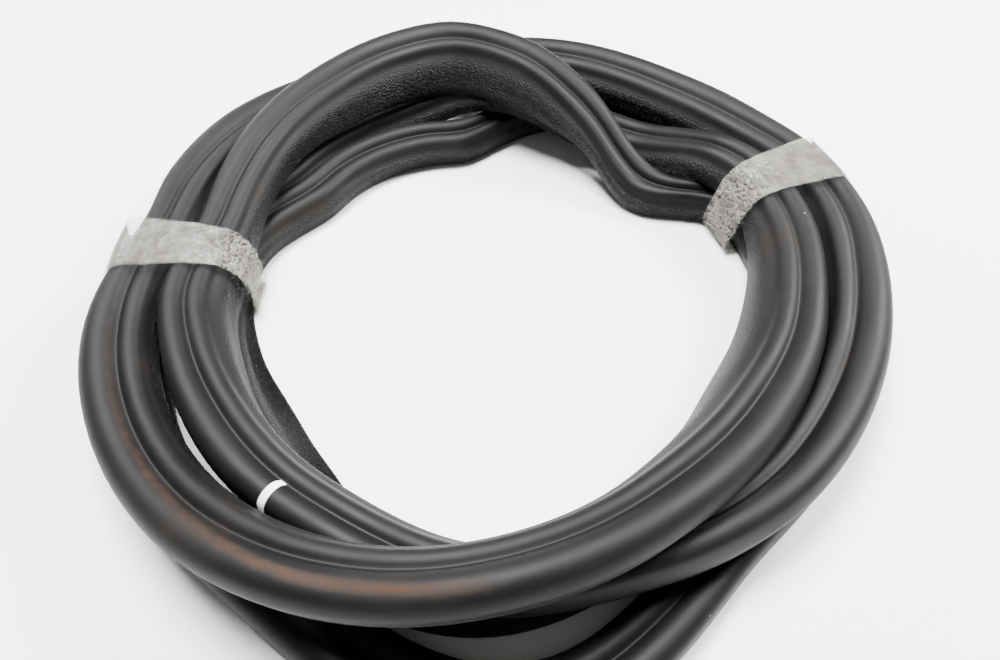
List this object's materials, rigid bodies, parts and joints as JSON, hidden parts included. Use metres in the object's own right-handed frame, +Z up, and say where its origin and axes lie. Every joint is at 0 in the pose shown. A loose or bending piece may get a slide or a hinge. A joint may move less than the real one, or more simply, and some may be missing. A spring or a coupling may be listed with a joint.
{
  "type": "vehicle door seal",
  "caption": "Extruded rubber door seal with a round bulb, a grooved clamp and a grained lip, coiled in a bundle and bound with clear tape wraps.",
  "frame": {"origin": "centre of the coil's bounding box on the floor that it lies on", "axes": "+Z up out of the floor, the tape wraps lie on the left (-X) and the right (+X), and the strand that splays out of the bundle is at -Y"},
  "size_m": [0.3738, 0.3938, 0.0633],
  "materials": {
    "seal_rubber": "matt black extruded rubber with a leather-grained lip",
    "clear_tape": "clear packing tape, wrinkled, several layers"
  },
  "bodies": {
    "root": {"door_seal": "seal_rubber", "tape_wrap_left": "clear_tape", "tape_wrap_right": "clear_tape"}
  },
  "joints": []
}
